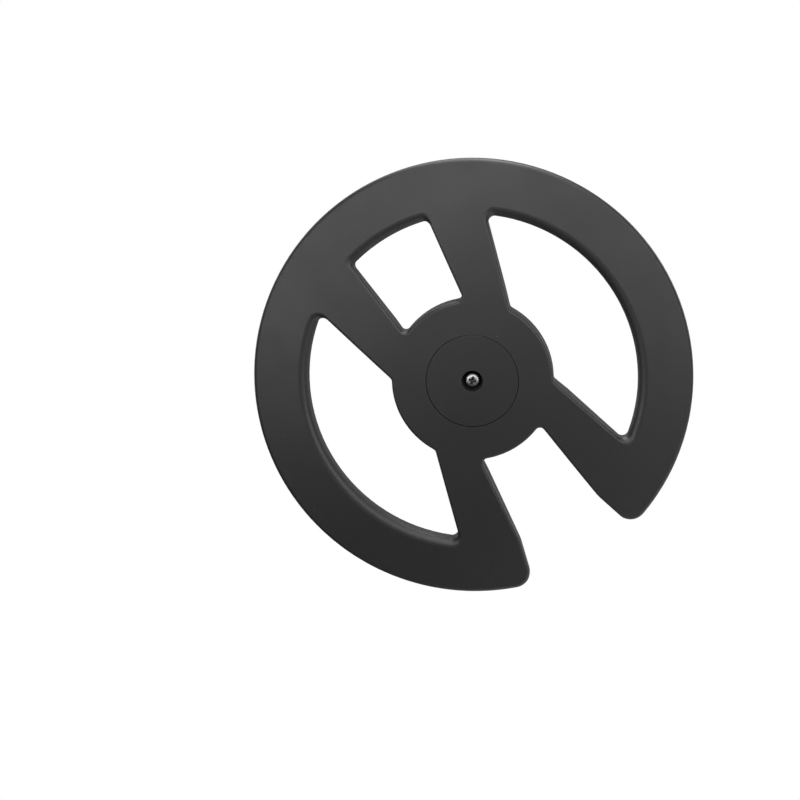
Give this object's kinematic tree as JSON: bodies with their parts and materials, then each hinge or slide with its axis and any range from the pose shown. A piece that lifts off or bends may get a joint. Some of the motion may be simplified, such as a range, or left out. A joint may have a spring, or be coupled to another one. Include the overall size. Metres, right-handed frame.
{
  "type": "bicycle chain guard",
  "caption": "Dished plastic guard disc for a bicycle crank, with spokes, windows, a crank slot and a threaded hub adapter.",
  "frame": {"origin": "on the hub axis, on the adapter's flat face that seats on the crank's boss", "axes": "+Y along the hub axis, away from the front and into the crank; -Y out of the front; -Z from the hub to the open slot; X=0 is the mirror plane"},
  "size_m": [0.2074, 0.018, 0.2018],
  "materials": {
    "black_plastic": "satin moulded, fine grain",
    "zinc_steel": "zinc-plated",
    "adapter_aluminium": "turned"
  },
  "bodies": {
    "root": {"guard_disc": "black_plastic", "centre_plate": "black_plastic", "centre_screw": "zinc_steel", "crank_adapter": "adapter_aluminium"}
  },
  "joints": []
}
